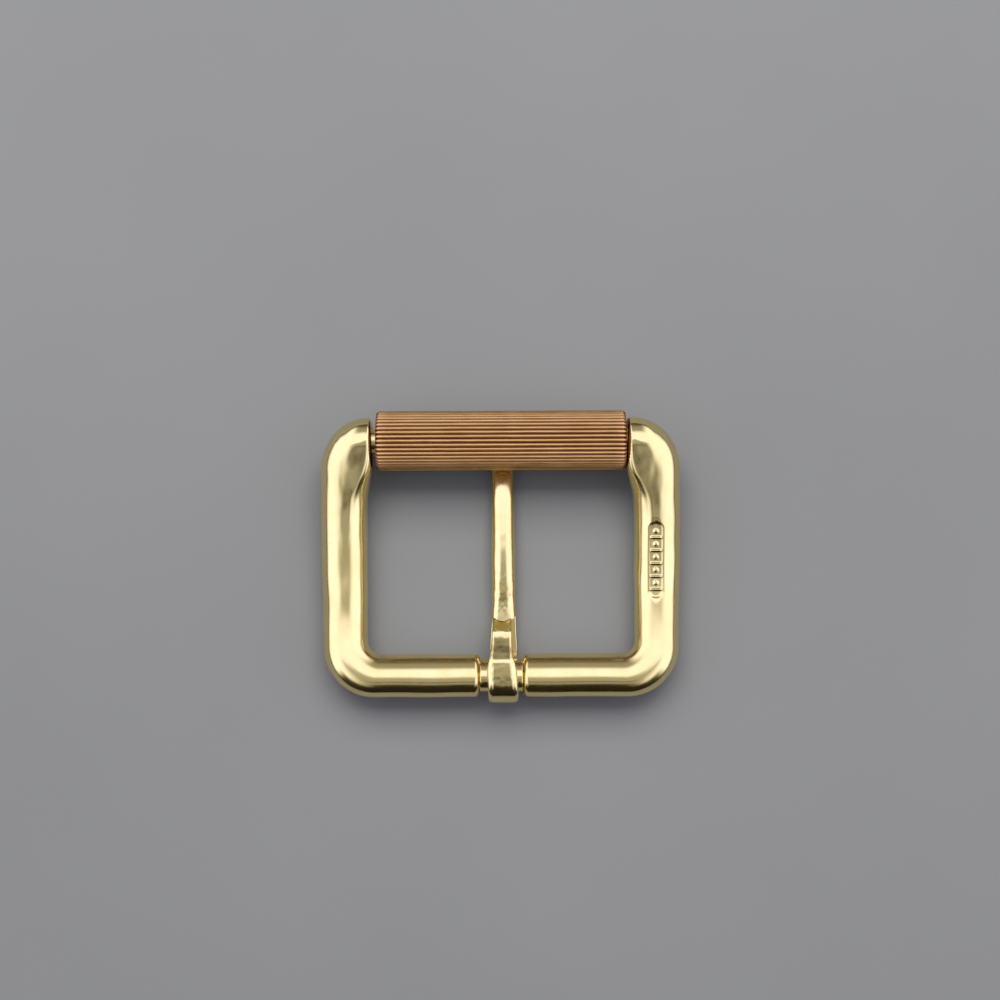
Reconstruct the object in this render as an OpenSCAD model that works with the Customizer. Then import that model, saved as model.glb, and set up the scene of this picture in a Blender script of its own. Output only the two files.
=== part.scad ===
// Roller buckle for a 40 mm strap, lying on its front as it would on a bench: a cast frame of two
// bowed arms and a heel bar, a ribbed roller on a riveted pin, and a prong closed round the heel
// bar's waist. Millimetres, +Z up, +Y from the heel bar to the roller, the bench at z = 0.

/* [Frame] */
// Clear width between the arms, which the strap goes through
inner_w = 40.8; // [36:0.5:46]
// Width of an arm seen from above
arm_w = 6.8; // [6.4:0.1:8.2]
// Thickness of an arm
arm_h = 6.4; // [5.4:0.1:7.2]
// Distance between the heel bar's axis and the roller's axis
bar_pitch = 35.8; // [32:0.2:42]
// Width of the heel bar seen from above
heel_w = 6.6; // [6:0.1:8]
// Thickness of the heel bar
heel_h = 6.4; // [5.8:0.1:7.6]
// Outer radius of the corners at the heel bar
corner_out = 8; // [6:0.1:9]
// Inner radius of the corners at the heel bar
corner_in = 2.1; // [1:0.1:3]
// Most that an arm swells outwards at its middle
arm_swell = 0.3; // [0:0.05:0.6]

/* [Ears] */
// Radius of each arm's round end about the roller's axis
ear_r = 3.5; // [3.2:0.1:4.2]
// How far each ear stands in past its arm, to face the roller's end
ear_step = 1.1; // [0.4:0.05:1.4]
// Length of the outer corner's curve along the arm
ear_round_y = 8; // [6.5:0.1:10]
// Depth of the outer corner's curve across the arm
ear_round_x = 7.3; // [5:0.1:7.3]

/* [Roller] */
// Diameter over the ribs
roller_d = 9; // [8.4:0.1:10.4]
// Diameter of the pin that the roller turns on
pin_d = 3.8; // [3:0.1:4.6]
// Free play of the roller along its pin
end_play = 1.2; // [0.4:0.05:1.4]
// How far the roller lies to the right of the middle
roller_shift = 0.15; // [0:0.05:0.15]
// Number of ribs
rib_count = 41; // [24:1:48]
// Depth of the grooves between the ribs
rib_depth = 0.26; // [0.1:0.02:0.4]
// Width of a groove's mouth
groove_w = 0.4; // [0.2:0.02:0.5]
// Chamfer on the roller's ends
roller_chamfer = 0.35; // [0.2:0.05:0.8]

/* [Waist] */
// Diameter of the heel bar's waist, which the prong's eye goes round
waist_d = 5; // [4:0.1:5.4]
// Width of the waist between the shoulders
waist_w = 6.7; // [5.6:0.1:9]
// Rounding of the shoulders' edges
shoulder_round = 0.8; // [0.3:0.1:1.2]

/* [Prong] */
// Width of the eye's strip
eye_w = 4.6; // [3.8:0.1:5.2]
// Thickness of the eye's strip
strip_t = 1.6; // [1.2:0.1:1.9]
// Width of the shank
shank_w = 3.7; // [2.8:0.1:4.2]
// Thickness of the shank at the seam
shank_t = 3.4; // [3.1:0.05:3.6]
// Thickness of the prong under the roller
tip_t = 1.8; // [1.4:0.1:2.2]
// Width of the prong under the roller
tip_w = 3.2; // [2.4:0.1:3.4]
// Distance from the heel bar's axis to the seam where the eye's strip ends
seam_y = 8.4; // [7.8:0.1:10]
// How far the seam leans back over the strip's end, in degrees
seam_lean = 20; // [0:1:30]
// Thickness of the strip's end at the seam
tail_t = 1.2; // [0.8:0.1:1.3]
// How far the prong lies to the right of the middle
prong_shift = 0.3; // [0:0.05:0.4]

/* [Marked panel] */
// Length of the sunken panel on the right arm's back
panel_l = 11.8; // [8:0.2:14]
// Width of the panel
panel_w = 2.4; // [1.8:0.1:2.8]
// Depth of the panel
panel_depth = 0.3; // [0.15:0.05:0.5]
// Spacing of the raised marks in the panel
mark_pitch = 0.98; // [0.8:0.02:1.6]
// Height of the raised marks
mark_h = 0.2; // [0.1:0.05:0.3]

/* [Clearances] */
// Radial clearance of the roller on its pin and of the eye on the waist
run_clear = 0.1; // [0.05:0.01:0.1]
// Radial gap of the riveted pin in the ears
pin_gap = 0.02; // [0.01:0.01:0.05]
// Gap between the prong and the roller that it lies against
rest_gap = 0.1; // [0.05:0.01:0.2]
// Gap at the seam between the strip's end and the shank
seam_gap = 0.12; // [0.06:0.02:0.2]

/* [Hidden] */

brass = [0.83, 0.68, 0.33];
worn_brass = [0.76, 0.6, 0.28];
copper = [0.72, 0.46, 0.3];

corner_points = 8; // points on each rounded corner of a section
round_fn = 96;
overlap = 0.6; // how far joined solids reach into each other
pin_inset = 0.1; // how far the pin's ends stand back from the ears
pin_round = ear_round_y * 0.8; // how slowly the pin's ends round over, from back to front

// Heights and places, from the bench up: the prong's eye and tip and the arms' lowest points touch it
pin_r = pin_d / 2;
roller_r = roller_d / 2;
waist_r = waist_d / 2;
bore_r = waist_r + run_clear;
eye_r = bore_r + strip_t;
heel_y = -(bar_pitch + max(roller_r, ear_r) - max(eye_r, heel_w / 2)) / 2;
heel_z = eye_r;
roller_y = heel_y + bar_pitch;
roller_z = tip_t + rest_gap + roller_r;

// The arms follow one parabola in side view, lowest at bow_y
bow_low = arm_h / 2;
bow_y = heel_y + bar_pitch / (1 + sqrt((roller_z - bow_low) / (heel_z - bow_low)));
bow_k = (roller_z - bow_low) / pow(roller_y - bow_y, 2);
function bow_z(y) = bow_low + bow_k * pow(y - bow_y, 2);
function bow_slope(y) = 2 * bow_k * (y - bow_y);

// Plan of the frame's left half
outer_x = inner_w / 2 + arm_w;
ear_x = inner_w / 2 - ear_step;
heel_in = heel_y + heel_w / 2;
heel_out = heel_y - heel_w / 2;
arm_y0 = heel_in + corner_in;
arm_l = roller_y - arm_y0;
ear_slope = atan(bow_slope(roller_y));

roller_l = 2 * ear_x - end_play;

function mix(a, b, t) = a + (b - a) * t;
function limit(t) = max(0, min(1, t));
function ease(t) = let (u = limit(t)) u * u * (3 - 2 * u);

// The value of column c at a share t, along a smooth curve through rows that start with their share
function cell(rows, i, c) = rows[max(0, min(len(rows) - 1, i))][c];
function pace(rows, i, c) =
    (cell(rows, i + 1, c) - cell(rows, i - 1, c)) / (cell(rows, i + 1, 0) - cell(rows, i - 1, 0));
function row_value(rows, t, c, i = 0) =
    i < len(rows) - 2 && t >= rows[i + 1][0]
    ? row_value(rows, t, c, i + 1)
    : let (span = rows[i + 1][0] - rows[i][0], u = limit((t - rows[i][0]) / span))
      mix(rows[i][c], rows[i + 1][c], ease(u))
      + span * u * (1 - u) * ((1 - u) * pace(rows, i, c) - u * pace(rows, i + 1, c));

// A rounded rectangle: across runs from 0 at the inner side to w, up is about 0. Each corner has a
// reach across and a reach up; flat turns the inner back corner from an arc towards a bevel
function corner(at, reach, from, flat = 0) =
    let (steps = corner_points - 1,
         start = [reach[0] * cos(from), reach[1] * sin(from)],
         end = [-reach[0] * sin(from), reach[1] * cos(from)])
    [for (i = [0:steps])
        let (a = from + 90 * i / steps, arc = [reach[0] * cos(a), reach[1] * sin(a)])
        at + mix(arc, mix(start, end, i / steps), flat)];
function section(w, h, out_back, in_back, in_front, out_front, flat = 0) = concat(
    corner([w - out_back[0], h / 2 - out_back[1]], out_back, 0),
    corner([in_back[0], h / 2 - in_back[1]], in_back, 90, flat),
    corner([in_front[0], in_front[1] - h / 2], in_front, 180),
    corner([w - out_front[0], out_front[1] - h / 2], out_front, 270)
);

// A ring of the frame between an inner and an outer plan point, square to a path that climbs at
// slope degrees towards the ear
function frame_ring(from, to, z, slope, shape) =
    let (across = (to - from) / norm(to - from), ahead = [across[1], -across[0]])
    [for (p = shape) [
        from[0] + across[0] * p[0] - ahead[0] * p[1] * sin(slope),
        from[1] + across[1] * p[0] - ahead[1] * p[1] * sin(slope),
        z + p[1] * cos(slope)
    ]];

// A closed solid through rings with equally many points
module skin(rings) {
    count = len(rings[0]);
    last = len(rings) - 1;
    polyhedron(
        points = [for (ring = rings) each ring],
        faces = concat(
            [[for (i = [0:count - 1]) i]],
            [[for (i = [count - 1:-1:0]) last * count + i]],
            [for (r = [0:last - 1], i = [0:count - 1])
                let (a = r * count + i, b = r * count + (i + 1) % count)
                each [[a, a + count, b], [b, a + count, b + count]]]
        )
    );
}

// Shape of an arm from the heel corner (share 0) to the roller's axis (share 1). A nearly round bar
// turns into an ear with a flat back and a crisp inner edge, through a bevelled stretch. Reaches
// across are shares of half the arm's width, reaches up are shares of half its thickness.
//           share  outer across, up  back across, up, flat  front across, up  ear step
arm_rows = [[0.00,  0.95, 0.95,       1.04, 0.95, 0.00,      1.00, 0.95,       0.00],
            [0.38,  1.08, 0.95,       0.90, 0.95, 0.00,      0.90, 0.95,       0.00],
            [0.55,  1.10, 0.95,       0.87, 0.93, 0.25,      0.86, 0.93,       0.02],
            [0.72,  1.12, 0.95,       0.78, 0.88, 0.50,      0.76, 0.86,       0.22],
            [0.80,  1.14, 0.95,       0.58, 0.74, 0.50,      0.60, 0.74,       0.62],
            [0.86,  1.15, 0.95,       0.40, 0.52, 0.35,      0.46, 0.56,       0.95],
            [0.92,  1.16, 0.95,       0.30, 0.34, 0.10,      0.36, 0.40,       1.00],
            [1.00,  1.16, 0.95,       0.26, 0.26, 0.00,      0.30, 0.32,       1.00]];
arm_steps = 21;
dome_steps = 8;
corner_steps = 9;
shoulder_steps = 4;
sliver = 0.02; // least flat left between two corners of a section
dome_end = 87; // degrees round the ear's end at its last ring
shoulder_depth = 0.8; // how far the shoulders' rounding reaches in, as a share of its length

// Outer edge of an arm at a distance along it from the roller's axis
function arm_outer(s) =
    let (u = limit((s + ear_round_y - ear_r) / ear_round_y),
         v = limit(1 - abs((s + arm_l / 2) / (arm_l / 2))))
    outer_x + arm_swell * ease(v) - ear_round_x * (1 - sqrt(1 - u * u));

function fit(wanted, room) = min(1, (room - sliver) / wanted);
function arm_section(w, h, t) =
    let (out = [row_value(arm_rows, t, 1) * arm_w / 2, row_value(arm_rows, t, 2) * arm_h / 2],
         back = [row_value(arm_rows, t, 3) * arm_w / 2, row_value(arm_rows, t, 4) * arm_h / 2],
         front = [row_value(arm_rows, t, 6) * arm_w / 2, row_value(arm_rows, t, 7) * arm_h / 2],
         fit_back = fit(out[0] + back[0], w),
         fit_front = fit(out[0] + front[0], w),
         fit_out = fit(2 * out[1], h),
         fit_in = fit(back[1] + front[1], h))
    section(w, h,
        [out[0] * fit_back, out[1] * fit_out],
        [back[0] * fit_back, back[1] * fit_in],
        [front[0] * fit_front, front[1] * fit_in],
        [out[0] * fit_front, out[1] * fit_out],
        row_value(arm_rows, t, 5));

function dome_ring(a) =
    let (s = ear_r * sin(a),
         y = roller_y + s * cos(ear_slope),
         from = [-ear_x - (1 - cos(a)) * ear_step / 2, y],
         to = [-max(arm_outer(s), ear_x + ear_step), y])
    frame_ring(from, to, roller_z + s * sin(ear_slope), ear_slope,
        arm_section(norm(to - from), 2 * ear_r * cos(a), 1));

function arm_ring(t) =
    let (y = mix(arm_y0, roller_y, t),
         from = [-inner_w / 2 + ear_step * row_value(arm_rows, t, 8), y],
         to = [-arm_outer(y - roller_y), y])
    frame_ring(from, to, bow_z(y), atan(bow_slope(y)),
        arm_section(norm(to - from), mix(arm_h, 2 * ear_r, ease((t - 0.5) * 2)), t));

function corner_ring(a) =
    let (from = [-inner_w / 2 + corner_in * (1 - cos(a)), arm_y0 - corner_in * sin(a)],
         to = [-outer_x + corner_out * (1 - cos(a)), heel_out + corner_out * (1 - sin(a))],
         y = (from[1] + to[1]) / 2)
    frame_ring(from, to, mix(bow_z(y), heel_z, a / 90), atan(bow_slope(y)) * cos(a),
        arm_section(norm(to - from), mix(arm_h, heel_h, a / 90), 0));

// The heel bar at x, drawn in by inset all round
function heel_ring(x, inset) =
    frame_ring([x, heel_in - inset], [x, heel_out + inset], heel_z, 0,
        arm_section(heel_w - 2 * inset, heel_h - 2 * inset, 0));

shoulder_x = waist_w / 2;
frame_rings = concat(
    [for (i = [shoulder_steps:-1:0])
        let (a = 90 * i / shoulder_steps)
        heel_ring(-shoulder_x - shoulder_round * (1 - sin(a)),
            shoulder_depth * shoulder_round * (1 - cos(a)))],
    [for (i = [corner_steps:-1:0]) corner_ring(90 * i / corner_steps)],
    [for (i = [1:arm_steps]) arm_ring(i / arm_steps)],
    [for (i = [1:dome_steps]) dome_ring(dome_end * i / dome_steps)]
);

// One half of the frame: an arm with its ear, its corner and its half of the heel bar
module frame_half() skin(frame_rings);

// A rod along X about the roller's axis or the heel bar's axis
module rod(y, z, r, l) translate([-l / 2, y, z]) rotate([0, 90, 0]) cylinder(r = r, h = l, $fn = round_fn);

// The panel lies along the right arm's back, a little nearer to its heel end and its inner side
panel_along = 0.4;   // where its middle is, as a share of the arm's length from the heel corner
panel_across = 0.45; // and as a share of the arm's width from its inner side
panel_y = mix(arm_y0, roller_y, panel_along);
panel_x = inner_w / 2 + arm_w * panel_across;
panel_steps = 12;
panel_end = 0.1;  // half the width of the slot's two end facets
mark_share = 0.66; // length of a mark across the panel, as a share of its width
mark_fill = 0.4;  // thickness of a mark and radius of a pellet, as a share of their spacing
mark_fn = 24;
function panel_floor(y) = bow_z(y) + arm_h / 2 - panel_depth;

// What is cut away to sink the panel: a slot with round ends that follows the arm's bow
module panel_cut() {
    skin([for (i = [0:panel_steps])
        let (s = cos(180 * i / panel_steps) * panel_l / 2,
             end = max(0, abs(s) - (panel_l - panel_w) / 2),
             half = max(panel_end, sqrt(pow(panel_w / 2, 2) - end * end)),
             y = panel_y + s,
             z = panel_floor(y))
        [[panel_x - half, y, z], [panel_x + half, y, z],
         [panel_x + half, y, z + arm_h / 2], [panel_x - half, y, z + arm_h / 2]]]);
}

// Raised marks in the panel, a plain run of bars and pellets
module panel_marks() {
    last = floor((panel_l - panel_w) / mark_pitch);
    for (i = [0:last]) {
        y = panel_y + (i - last / 2) * mark_pitch;
        translate([panel_x, y, panel_floor(y) - overlap / 2])
            if (i % 2 == 0)
                linear_extrude(overlap / 2 + mark_h)
                    square([panel_w * mark_share, mark_pitch * mark_fill], center = true);
            else
                cylinder(r = mark_pitch * mark_fill, h = overlap / 2 + mark_h, $fn = mark_fn);
    }
}

module frame() color(brass) difference() {
    union() {
        frame_half();
        difference() {
            mirror([1, 0, 0]) frame_half();
            panel_cut();
        }
        panel_marks();
        rod(heel_y, heel_z, waist_r, waist_w + 2 * overlap);
    }
    rod(roller_y, roller_z, pin_r + pin_gap, 2 * outer_x + overlap);
}

// The pin: its ends are riveted over and dressed to the ears' round outer corners
module roller_pin() color(worn_brass) intersection() {
    rod(roller_y, roller_z, pin_r, 2 * outer_x);
    union() {
        translate([0, roller_y, roller_z])
            cube([2 * (outer_x - ear_round_x), 2 * pin_d, 2 * pin_d], center = true);
        for (side = [-1, 1])
            translate([
                side * (outer_x - ear_round_x - pin_inset),
                roller_y + ear_r - ear_round_y,
                roller_z
            ])
                scale([ear_round_x, ear_round_y, pin_round]) sphere(r = 1, $fn = round_fn);
    }
}

// The ribbed roller, a thick tube with chamfered ends
module roller() color(copper) translate([roller_shift, roller_y, roller_z]) rotate([0, 90, 0])
    difference() {
        rotate_extrude($fn = round_fn)
            polygon([
                [pin_r + run_clear, -roller_l / 2],
                [roller_r - roller_chamfer, -roller_l / 2],
                [roller_r, -roller_l / 2 + roller_chamfer],
                [roller_r, roller_l / 2 - roller_chamfer],
                [roller_r - roller_chamfer, roller_l / 2],
                [pin_r + run_clear, roller_l / 2]
            ]);
        for (i = [0:rib_count - 1])
            rotate([0, 0, 360 * i / rib_count])
                translate([roller_r, 0, 0])
                    linear_extrude(roller_l + 1, center = true)
                        polygon([[-rib_depth, 0], [rib_depth, groove_w], [rib_depth, -groove_w]]);
    }

// A ring of the prong: at a point of its front face, travelling at heading degrees in the YZ plane,
// with the thickness towards the bar. Front and back edges have their own radii.
function prong_ring(y, z, heading, w, t, front, back, shift = 0) =
    let (most = (min(w, t) - sliver) / 2, f = min(front, most), b = min(back, most))
    [for (p = section(w, t, [b, b], [b, b], [f, f], [f, f])) [
        prong_shift + shift + p[0] - w / 2,
        heel_y + y + (p[1] + t / 2) * sin(heading),
        heel_z + z - (p[1] + t / 2) * cos(heading)
    ]];

// Shank from the seam (share 0) to the roller's axis (share 1): width and edge radius as shares of
// the shank's width and of half its thickness, thinning as a share of the way to the tip's thickness
//             share  width  thinning  back edges
shank_rows = [[0.00,  0.95,  0.00,     0.92],
              [0.12,  1.00,  0.04,     0.95],
              [0.40,  1.00,  0.20,     0.95],
              [0.65,  0.97,  0.52,     0.92],
              [0.85,  0.92,  0.90,     0.85],
              [1.00,  tip_w / shank_w, 1.00, 0.80]];
shank_steps = 10;
tip_steps = 6;
eye_steps = 24;
tip_turn = 24;    // degrees that the tip goes on round the roller
tip_end = 0.35;   // size of the tip's last facet, as a share of the tip
front_edge = 0.6; // radius of the shank's front edges, as a share of half its thickness
tail_turn = 30;   // degrees past the eye's top where the strip leaves the bar
tail_bend = 0.8;  // where the strip's last facet starts, as a share of the seam's distance
tail_w = 0.86;    // width of the strip's end, as a share of the shank's
tail_shift = 0.2; // how far the strip's end lies to the left of the shank
throat_w = 0.92;  // width of the strip where it leaves the shank, as a share of the shank's
bend_share = 0.4; // how far the strip has widened and thickened at the bend
eye_edge = 0.95;  // radius of the strip's outer edges
inner_edge = 0.15; // radius of its inner edges
bore_stock = 0.1; // left inside the eye and then bored out
ledge_step = 0.02; // length of the step down from the shank to the strip

front_z = -eye_r; // the prong's front face, from the heel bar's axis
reach_r = roller_r + rest_gap;

// Where the ring travelling at a lean starts on the front face, so that its back is at y
function leaning_y(y, thick) = y + thick * tan(seam_lean);

function shank_ring(t) =
    let (thick = mix(shank_t, tip_t, row_value(shank_rows, t, 2)),
         lean = t == 0 ? seam_lean : 0,
         y = mix(seam_y, bar_pitch, t))
    prong_ring(lean == 0 ? y : leaning_y(y, thick), front_z, 180 + lean,
        shank_w * row_value(shank_rows, t, 1), thick / cos(lean),
        front_edge * thick / 2, row_value(shank_rows, t, 3) * thick / 2);

// The tip past the roller's axis, bent up round the roller; it rounds off at its end
function tip_ring(t) =
    let (turn = tip_turn * t,
         size = mix(tip_end, 1, sqrt(1 - pow(limit(t * 2 - 1), 2))),
         r = reach_r + (1 + size) * tip_t / 2)
    prong_ring(bar_pitch + r * sin(turn), roller_z - heel_z - r * cos(turn), 180 + turn,
        tip_w * size, tip_t * size, front_edge * tip_t * size / 2, front_edge * tip_t * size / 2);

// The strip after it leaves the eye: two flats down to the seam, which meet the shank's back
tail_y = eye_r * sin(tail_turn);
bend_y = seam_y * tail_bend;
bend_z = eye_r * cos(tail_turn) - (bend_y - tail_y) * tan(tail_turn);
end_y = seam_y - seam_gap;
end_z = front_z + shank_t;
tail_slope = atan((bend_z - end_z) / (end_y - bend_y));
ledge_t = end_z - tail_t - seam_gap - front_z;
ledge_y = leaning_y(seam_y, shank_t - ledge_t) - ledge_step;

// A ring of the strip, whose width goes from a share of the shank's at t = 0 to the eye's at t = 1
function strip_ring(y, z, heading, narrow, t, thick, shift = 0) =
    prong_ring(y, z, heading, mix(shank_w * narrow, eye_w, ease(t)), thick, eye_edge, inner_edge, shift);

prong_rings = concat(
    [for (i = [tip_steps:-1:1]) tip_ring(i / tip_steps)],
    [for (i = [shank_steps:-1:0]) shank_ring(i / shank_steps)],
    [for (t = [1, 0.5])
        strip_ring(ledge_y * t, front_z, 180, throat_w, 1 - t, mix(strip_t + bore_stock, ledge_t, t))],
    [for (i = [0:eye_steps])
        let (heading = mix(180, -tail_turn, i / eye_steps))
        strip_ring(-eye_r * sin(heading), eye_r * cos(heading), heading, throat_w, 1,
            strip_t + bore_stock)],
    [strip_ring(bend_y, bend_z, -(tail_turn + tail_slope) / 2, tail_w, bend_share,
        mix(tail_t, strip_t, bend_share), -tail_shift),
     strip_ring(end_y, end_z, seam_lean, tail_w, 0, tail_t / cos(seam_lean), -tail_shift)]
);

module prong() color(brass) difference() {
    skin(prong_rings);
    translate([prong_shift, 0, 0]) rod(heel_y, heel_z, bore_r, eye_w + 2 * overlap);
}

frame();
roller_pin();
roller();
prong();
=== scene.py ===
"""Roller buckle in polished brass, lying face down under soft studio light.

The cast frame, the prong, the ribbed roller and its riveted pin are modelled finely here, from the
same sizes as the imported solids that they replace. Shapes are worked out in millimetres and turned into
metres when their meshes are made.
"""

import math

import bmesh
import bpy
import numpy as np
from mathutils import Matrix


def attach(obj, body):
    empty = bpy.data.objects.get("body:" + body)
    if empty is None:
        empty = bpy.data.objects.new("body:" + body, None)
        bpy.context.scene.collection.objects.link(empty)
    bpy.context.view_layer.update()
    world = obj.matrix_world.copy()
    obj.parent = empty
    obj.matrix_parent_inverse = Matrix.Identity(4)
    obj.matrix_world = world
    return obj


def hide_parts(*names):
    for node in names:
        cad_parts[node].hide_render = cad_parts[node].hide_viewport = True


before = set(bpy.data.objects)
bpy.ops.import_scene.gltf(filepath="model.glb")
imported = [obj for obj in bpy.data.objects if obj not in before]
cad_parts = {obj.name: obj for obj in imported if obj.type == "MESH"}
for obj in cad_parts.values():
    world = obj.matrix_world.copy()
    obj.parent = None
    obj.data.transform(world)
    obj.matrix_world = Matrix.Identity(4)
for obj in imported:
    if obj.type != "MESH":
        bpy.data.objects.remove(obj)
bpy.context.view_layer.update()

MM = 0.001

# Frame
INNER_W = 40.8
ARM_W = 6.8
ARM_H = 6.4
BAR_PITCH = 35.8
HEEL_W = 6.6
HEEL_H = 6.4
CORNER_OUT = 8.0
CORNER_IN = 2.1
ARM_SWELL = 0.3  # how far the arms stand out halfway
EAR_R = 3.5
EAR_STEP = 1.1  # how far the ears stand in from the arms' inner sides
RIGHT_EAR_IN = 0.33  # how much nearer the right ear comes to the roller
EAR_ROUND_Y = 8.0
EAR_ROUND_X = 7.3
DOME_END = math.radians(88.5)

# Crown of the ears' backs
CROWN_H = 0.14
CROWN_X = 2.6  # its middle, from the ear's inner face
CROWN_REACH = 2.2
CROWN_FADE = (9.0, 3.0)  # before the roller's axis: where it starts and is full

# Roller and pin
ROLLER_D = 9.0
PIN_D = 3.8
END_PLAY = 1.1
ROLLER_SHIFT = 0.08
RIB_COUNT = 41
RIB_DEPTH = 0.26
RIB_POWER = 2.2  # how full the crests are
ROLLER_BEVEL = (0.48, 0.26)  # bevel of its ends, along and across

# Waist
WAIST_D = 5.0
WAIST_W = 6.7
SHOULDER_ROUND = 0.8
SHOULDER_DEPTH = 0.8
FILLET = 0.25  # rounding where the waist meets its shoulders

# Prong: strip and eye
EYE_W = 4.6
STRIP_T = 1.6
THROAT_W = 0.97  # width where the strip leaves the shank, as a share of the shank's
EYE_BEVEL = 0.68
BEVEL_UP = 0.52  # bevels along the strip's outer edges: reach up for a reach across of 1
BEVEL_FLAT = 0.4
INNER_EDGE = 0.15
CROWN_TURN = math.radians(10)  # where the round eye turns into the hammered crown
PRONG_SHIFT = 0.3

# Prong: tail and seam
SEAM_Y = 8.7
SEAM_LEAN = math.radians(20)
TAIL_T = 1.2
TAIL_W = 0.78  # width at the seam, as a share of the shank's
TAIL_SHIFT = 0.19
TAIL_TURN = math.radians(30)
BEND_TURN = math.radians(40)
BEND_T = 1.9
END_BEVEL = 0.32
LEDGE_STEP = 0.02
SMILE = 0.5  # how far the seam bulges towards the heel in its middle

# Prong: shank and tip
SHANK_W = 3.7
SHANK_T = 3.4
SHANK_LEAN = 0.12  # how far the shank stands to the right at the seam
SEAM_FADE = 9  # the seam's lean and bulge end at this part of the shank, a ninth
TIP_T = 1.8
TIP_W = 3.2
TIP_TURN = math.radians(24)
TIP_END = 0.35
FRONT_EDGE = 0.6

# Marked panel
PANEL_L = 11.8
PANEL_W = 2.4
PANEL_DEPTH = 0.22
PANEL_OUT = 0.45  # its middle's place across the arm, as a share of the arm's width
PANEL_DOWN = 0.1  # how far it lies from the arm's middle to the heel, as a share of the arm's length
PANEL_EDGE = (-0.1, 0.5)
MARK_EDGE = (-0.1, 0.18)
MARK_PITCH = 0.98
MARK_H = 0.15
BAR_REACH = 0.37  # half a bar's length, as a share of the panel's width
BAR_HALF = 0.2  # half a bar's width, as a share of the pitch
PELLET_R = 0.36  # as a share of the pitch

# Clearances
RUN_CLEAR = 0.1
DRILL_GAP = 0.008
REST_GAP = 0.1
SEAM_GAP = 0.12
FLOOR_GAP = 0.03

# Fineness of the meshes
BACK_POINTS = 46
FRONT_POINTS = 14
SPAN_POINTS = (16, 3, 3, 3)  # between the roundings: back, inner side, front, outer side
PRONG_POINTS = 14
PRONG_SPAN_POINTS = (12, 12, 12, 12)
SLIVER = 0.02  # shortest stretch that is left between two roundings
WAIST_STEPS = 4
FILLET_STEPS = 3
SHOULDER_STEPS = 7
HEEL_STEPS = 10
CORNER_STEPS = 24
DOME_STEPS = 16
ARM_STEP = 0.45
PANEL_STEP = 0.09
SHANK_STEPS = 150
TIP_STEPS = 14
EYE_STEPS = 130
CROWN_STEPS = 40
TAIL_STEPS = 44
END_STEPS = 14
THROAT_STEPS = 6
RIB_POINTS = 14
BEVEL_STEPS = 3
ROLLER_STEPS = 25
ROD_SIDES = 96

# Wear of the surfaces, as patterns of small heights. A pattern has its height, the size of its waves,
# how fast they run along the buckle beside across it, and a seed.
FRAME_POLISH = ((0.028, 9.0, 1.0, 11), (0.011, 3.6, 1.0, 12))
ARM_STREAKS = ((0.007, 1.2, 0.16, 13), (0.008, 1.3, 0.5, 14))
PRONG_POLISH = ((0.020, 7.0, 1.0, 21), (0.012, 2.8, 1.0, 22))
SHANK_WEAR = ((0.024, 1.5, 0.6, 27), (0.012, 0.8, 1.0, 28))
TAIL_DENTS = ((0.030, 2.6, 1.0, 41), (0.008, 1.1, 1.0, 42))
HAMMER_MARKS = ((0.010, 1.0, 1.0, 33), (0.006, 0.5, 1.0, 34))

# Where the wear lies. On the prong, from the bar's axis: starts, is full, fades and ends.
STREAKED_Y = (-8.0, 6.0)
POLISHED = (3.0, 7.0, 30.0, 34.0)
WORN = (8.8, 10.5, 12.5, 18.0)
DENTED = (2.6, 3.6, 6.4, 7.2)
HAMMERED = (-2.4, -0.8, 2.3, 2.8)
HAMMERED_X = 0.1
HAMMERED_REACH = (1.3, 1.7)

# Heights over the floor at which wear starts on the prong's back and is full
WORN_UP = (2.8, 3.3)
DENTED_UP = (4.4, 5.0)
HAMMERED_UP = (6.6, 7.4)

# Studio: strengths of the light from each direction
SIDE_LIGHT = 1.36
HEAD_LIGHT = 1.30
TOP_LIGHT = 0.42
FOOT_LIGHT = 0.02

# Softbox and camera; the lamp's sizes are in metres
LAMP_SIZE = (0.7, 0.4)
LAMP_PLACE = (0.0, 0.42, 0.56)
LAMP_POWER = 10.5
CAMERA_AIM = (-0.1, 8.73, 3.3)
CAMERA_DISTANCE = 240.0
CAMERA_TURN = math.radians(-0.25)
VIEW_W = 153.4
SENSOR_W = 36.0
FLOOR_SIZE = 6.0

# Places
ROLLER_R = ROLLER_D / 2
WAIST_R = WAIST_D / 2
EYE_R = WAIST_R + RUN_CLEAR + STRIP_T
HEEL_Y = -(BAR_PITCH + max(ROLLER_R, EAR_R) - max(EYE_R, HEEL_W / 2)) / 2
HEEL_Z = EYE_R
ROLLER_Y = HEEL_Y + BAR_PITCH
ROLLER_Z = TIP_T + REST_GAP + ROLLER_R
BOW_LOW = ARM_H / 2
BOW_Y = HEEL_Y + BAR_PITCH / (1 + math.sqrt((ROLLER_Z - BOW_LOW) / (HEEL_Z - BOW_LOW)))
BOW_K = (ROLLER_Z - BOW_LOW) / (ROLLER_Y - BOW_Y) ** 2
EAR_SLOPE = math.atan(2 * BOW_K * (ROLLER_Y - BOW_Y))
OUTER_X = INNER_W / 2 + ARM_W
EAR_X = INNER_W / 2 - EAR_STEP
HEEL_IN = HEEL_Y + HEEL_W / 2
HEEL_OUT = HEEL_Y - HEEL_W / 2
ARM_Y0 = HEEL_IN + CORNER_IN
ARM_L = ROLLER_Y - ARM_Y0
ROLLER_L = 2 * EAR_X - END_PLAY
PANEL_X = INNER_W / 2 + ARM_W * PANEL_OUT
PANEL_Y = (ARM_Y0 + ROLLER_Y) / 2 - ARM_L * PANEL_DOWN
FRONT_Z = -EYE_R
REACH_R = ROLLER_R + REST_GAP
END_Y = SEAM_Y - SEAM_GAP
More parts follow.
